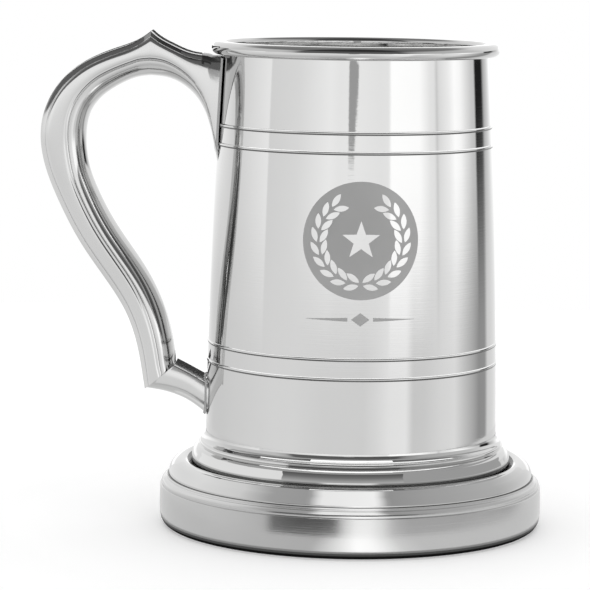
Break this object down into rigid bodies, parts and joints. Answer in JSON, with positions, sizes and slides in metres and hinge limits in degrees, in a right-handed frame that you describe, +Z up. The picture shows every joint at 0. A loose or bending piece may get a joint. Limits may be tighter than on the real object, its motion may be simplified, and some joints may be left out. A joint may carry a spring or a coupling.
{
  "type": "pewter tankard",
  "caption": "Tapered pewter drinking tankard with a rolled rim, fine raised lines, a wide stepped foot and a hollow handle with a pointed thumb spur.",
  "frame": {"origin": "on the drum's axis at the flat face the tankard stands on", "axes": "+Z up along the drum's axis, -X towards the handle, -Y towards the front"},
  "size_m": [0.1479, 0.1126, 0.1447],
  "materials": {
    "polished_pewter": "pewter, polished bright",
    "satin_pewter": "pewter, satin",
    "solder": "pewter solder, dull"
  },
  "bodies": {
    "root": {"drum": "polished_pewter", "mouth_rim": "polished_pewter", "drum_floor": "polished_pewter", "foot_collar": "polished_pewter", "foot_shoulder": "polished_pewter", "handle_channel": "polished_pewter", "handle_back_strap": "polished_pewter", "handle_strut": "polished_pewter", "base_band": "satin_pewter", "base_plate": "satin_pewter", "floor_solder": "solder", "collar_solder": "solder", "base_solder": "solder", "upper_handle_solder": "solder", "lower_handle_solder": "solder"}
  },
  "joints": []
}
